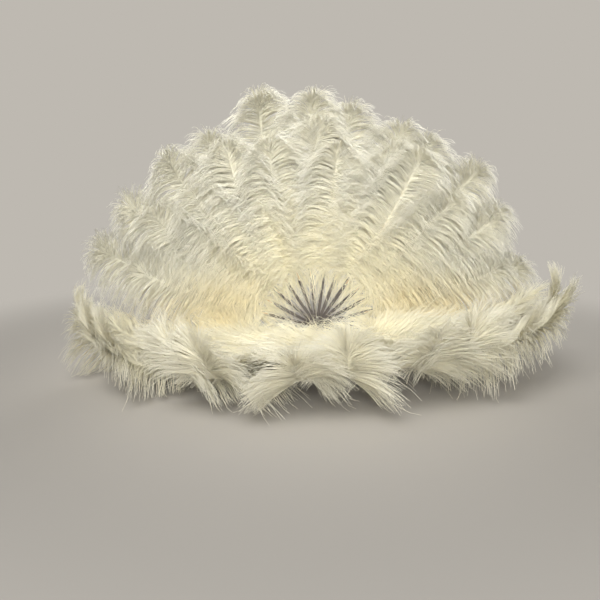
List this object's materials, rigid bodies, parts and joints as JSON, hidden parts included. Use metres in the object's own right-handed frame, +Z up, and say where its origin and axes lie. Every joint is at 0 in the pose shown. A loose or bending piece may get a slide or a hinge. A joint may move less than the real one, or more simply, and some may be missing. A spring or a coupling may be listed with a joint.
{
  "type": "feather fan",
  "caption": "Pair of ostrich plume folding fans, spread and set together like an open shell: slim dark staves on a steel pivot bolt carry long back and short front ivory plumes.",
  "frame": {"origin": "Middle of the flat rear face of the upright fan's bolt head, where it rests on the wall, on the upright fan's pivot axis.", "axes": "+X to the viewer's right along the line where the two fans meet, +Y into the wall, +Z up."},
  "size_m": [1.447, 0.7971, 0.7419],
  "materials": {
    "stave_wood": "dark grey-brown stained slats, satin",
    "plume_ivory": "ivory ostrich plumes, cream towards the quill, soft and matt",
    "pivot_steel": "plain zinc-grey steel, satin"
  },
  "bodies": {
    "pair_frame": {"upright_stave_06": "stave_wood", "upright_plume_06": "plume_ivory", "upright_pivot_bolt": "pivot_steel", "upright_back_washer": "pivot_steel", "upright_front_washer": "pivot_steel", "upright_cap_nut": "pivot_steel", "lying_stave_06": "stave_wood", "lying_plume_06": "plume_ivory", "lying_pivot_bolt": "pivot_steel", "lying_back_washer": "pivot_steel", "lying_front_washer": "pivot_steel", "lying_cap_nut": "pivot_steel"},
    "upright_leaf_01": {"upright_stave_01": "stave_wood", "upright_plume_01": "plume_ivory"},
    "upright_leaf_02": {"upright_stave_02": "stave_wood", "upright_plume_02": "plume_ivory"},
    "upright_leaf_03": {"upright_stave_03": "stave_wood", "upright_plume_03": "plume_ivory"},
    "upright_leaf_04": {"upright_stave_04": "stave_wood", "upright_plume_04": "plume_ivory"},
    "upright_leaf_05": {"upright_stave_05": "stave_wood", "upright_plume_05": "plume_ivory"},
    "upright_leaf_07": {"upright_stave_07": "stave_wood", "upright_plume_07": "plume_ivory"},
    "upright_leaf_08": {"upright_stave_08": "stave_wood", "upright_plume_08": "plume_ivory"},
    "upright_leaf_09": {"upright_stave_09": "stave_wood", "upright_plume_09": "plume_ivory"},
    "upright_leaf_10": {"upright_stave_10": "stave_wood", "upright_plume_10": "plume_ivory"},
    "upright_leaf_11": {"upright_stave_11": "stave_wood", "upright_plume_11": "plume_ivory"},
    "upright_leaf_12": {"upright_stave_12": "stave_wood", "upright_plume_12": "plume_ivory"},
    "lying_leaf_01": {"lying_stave_01": "stave_wood", "lying_plume_01": "plume_ivory"},
    "lying_leaf_02": {"lying_stave_02": "stave_wood", "lying_plume_02": "plume_ivory"},
    "lying_leaf_03": {"lying_stave_03": "stave_wood", "lying_plume_03": "plume_ivory"},
    "lying_leaf_04": {"lying_stave_04": "stave_wood", "lying_plume_04": "plume_ivory"},
    "lying_leaf_05": {"lying_stave_05": "stave_wood", "lying_plume_05": "plume_ivory"},
    "lying_leaf_07": {"lying_stave_07": "stave_wood", "lying_plume_07": "plume_ivory"},
    "lying_leaf_08": {"lying_stave_08": "stave_wood", "lying_plume_08": "plume_ivory"},
    "lying_leaf_09": {"lying_stave_09": "stave_wood", "lying_plume_09": "plume_ivory"},
    "lying_leaf_10": {"lying_stave_10": "stave_wood", "lying_plume_10": "plume_ivory"},
    "lying_leaf_11": {"lying_stave_11": "stave_wood", "lying_plume_11": "plume_ivory"},
    "lying_leaf_12": {"lying_stave_12": "stave_wood", "lying_plume_12": "plume_ivory"}
  },
  "joints": [
    {"name": "upright_pivot_01", "type": "hinge", "parent": "pair_frame", "child": "upright_leaf_01", "pos_m": [0, 0, 0], "axis": [0, -1, 0], "range_deg": [0, 68.65]},
    {"name": "upright_pivot_02", "type": "hinge", "parent": "pair_frame", "child": "upright_leaf_02", "pos_m": [0, 0, 0], "axis": [0, -1, 0], "range_deg": [0, 54.92]},
    {"name": "upright_pivot_03", "type": "hinge", "parent": "pair_frame", "child": "upright_leaf_03", "pos_m": [0, 0, 0], "axis": [0, -1, 0], "range_deg": [0, 41.19]},
    {"name": "upright_pivot_04", "type": "hinge", "parent": "pair_frame", "child": "upright_leaf_04", "pos_m": [0, 0, 0], "axis": [0, -1, 0], "range_deg": [0, 27.46]},
    {"name": "upright_pivot_05", "type": "hinge", "parent": "pair_frame", "child": "upright_leaf_05", "pos_m": [0, 0, 0], "axis": [0, -1, 0], "range_deg": [0, 13.74]},
    {"name": "upright_pivot_07", "type": "hinge", "parent": "pair_frame", "child": "upright_leaf_07", "pos_m": [0, 0, 0], "axis": [0, -1, 0], "range_deg": [-13.74, 0]},
    {"name": "upright_pivot_08", "type": "hinge", "parent": "pair_frame", "child": "upright_leaf_08", "pos_m": [0, 0, 0], "axis": [0, -1, 0], "range_deg": [-27.46, 0]},
    {"name": "upright_pivot_09", "type": "hinge", "parent": "pair_frame", "child": "upright_leaf_09", "pos_m": [0, 0, 0], "axis": [0, -1, 0], "range_deg": [-41.19, 0]},
    {"name": "upright_pivot_10", "type": "hinge", "parent": "pair_frame", "child": "upright_leaf_10", "pos_m": [0, 0, 0], "axis": [0, -1, 0], "range_deg": [-54.92, 0]},
    {"name": "upright_pivot_11", "type": "hinge", "parent": "pair_frame", "child": "upright_leaf_11", "pos_m": [0, 0, 0], "axis": [0, -1, 0], "range_deg": [-68.65, 0]},
    {"name": "upright_fold", "type": "hinge", "parent": "pair_frame", "child": "upright_leaf_12", "pos_m": [0, 0, 0], "axis": [0, -1, 0], "range_deg": [-82.36, 0]},
    {"name": "lying_pivot_01", "type": "hinge", "parent": "pair_frame", "child": "lying_leaf_01", "pos_m": [0, -0.0564, 0], "axis": [0, 0, 1], "range_deg": [0, 68.65]},
    {"name": "lying_pivot_02", "type": "hinge", "parent": "pair_frame", "child": "lying_leaf_02", "pos_m": [0, -0.0564, 0], "axis": [0, 0, 1], "range_deg": [0, 54.92]},
    {"name": "lying_pivot_03", "type": "hinge", "parent": "pair_frame", "child": "lying_leaf_03", "pos_m": [0, -0.0564, 0], "axis": [0, 0, 1], "range_deg": [0, 41.19]},
    {"name": "lying_pivot_04", "type": "hinge", "parent": "pair_frame", "child": "lying_leaf_04", "pos_m": [0, -0.0564, 0], "axis": [0, 0, 1], "range_deg": [0, 27.46]},
    {"name": "lying_pivot_05", "type": "hinge", "parent": "pair_frame", "child": "lying_leaf_05", "pos_m": [0, -0.0564, 0], "axis": [0, 0, 1], "range_deg": [0, 13.74]},
    {"name": "lying_pivot_07", "type": "hinge", "parent": "pair_frame", "child": "lying_leaf_07", "pos_m": [0, -0.0564, 0], "axis": [0, 0, 1], "range_deg": [-13.74, 0]},
    {"name": "lying_pivot_08", "type": "hinge", "parent": "pair_frame", "child": "lying_leaf_08", "pos_m": [0, -0.0564, 0], "axis": [0, 0, 1], "range_deg": [-27.46, 0]},
    {"name": "lying_pivot_09", "type": "hinge", "parent": "pair_frame", "child": "lying_leaf_09", "pos_m": [0, -0.0564, 0], "axis": [0, 0, 1], "range_deg": [-41.19, 0]},
    {"name": "lying_pivot_10", "type": "hinge", "parent": "pair_frame", "child": "lying_leaf_10", "pos_m": [0, -0.0564, 0], "axis": [0, 0, 1], "range_deg": [-54.92, 0]},
    {"name": "lying_pivot_11", "type": "hinge", "parent": "pair_frame", "child": "lying_leaf_11", "pos_m": [0, -0.0564, 0], "axis": [0, 0, 1], "range_deg": [-68.65, 0]},
    {"name": "lying_fold", "type": "hinge", "parent": "pair_frame", "child": "lying_leaf_12", "pos_m": [0, -0.0564, 0], "axis": [0, 0, 1], "range_deg": [-82.36, 0]}
  ],
  "couplings": [
    {"joint": "upright_pivot_01", "follows": "upright_fold", "ratio": -0.83333},
    {"joint": "upright_pivot_02", "follows": "upright_fold", "ratio": -0.66667},
    {"joint": "upright_pivot_03", "follows": "upright_fold", "ratio": -0.5},
    {"joint": "upright_pivot_04", "follows": "upright_fold", "ratio": -0.33333},
    {"joint": "upright_pivot_05", "follows": "upright_fold", "ratio": -0.16667},
    {"joint": "upright_pivot_07", "follows": "upright_fold", "ratio": 0.16667},
    {"joint": "upright_pivot_08", "follows": "upright_fold", "ratio": 0.33333},
    {"joint": "upright_pivot_09", "follows": "upright_fold", "ratio": 0.5},
    {"joint": "upright_pivot_10", "follows": "upright_fold", "ratio": 0.66667},
    {"joint": "upright_pivot_11", "follows": "upright_fold", "ratio": 0.83333},
    {"joint": "lying_pivot_01", "follows": "lying_fold", "ratio": -0.83333},
    {"joint": "lying_pivot_02", "follows": "lying_fold", "ratio": -0.66667},
    {"joint": "lying_pivot_03", "follows": "lying_fold", "ratio": -0.5},
    {"joint": "lying_pivot_04", "follows": "lying_fold", "ratio": -0.33333},
    {"joint": "lying_pivot_05", "follows": "lying_fold", "ratio": -0.16667},
    {"joint": "lying_pivot_07", "follows": "lying_fold", "ratio": 0.16667},
    {"joint": "lying_pivot_08", "follows": "lying_fold", "ratio": 0.33333},
    {"joint": "lying_pivot_09", "follows": "lying_fold", "ratio": 0.5},
    {"joint": "lying_pivot_10", "follows": "lying_fold", "ratio": 0.66667},
    {"joint": "lying_pivot_11", "follows": "lying_fold", "ratio": 0.83333}
  ]
}
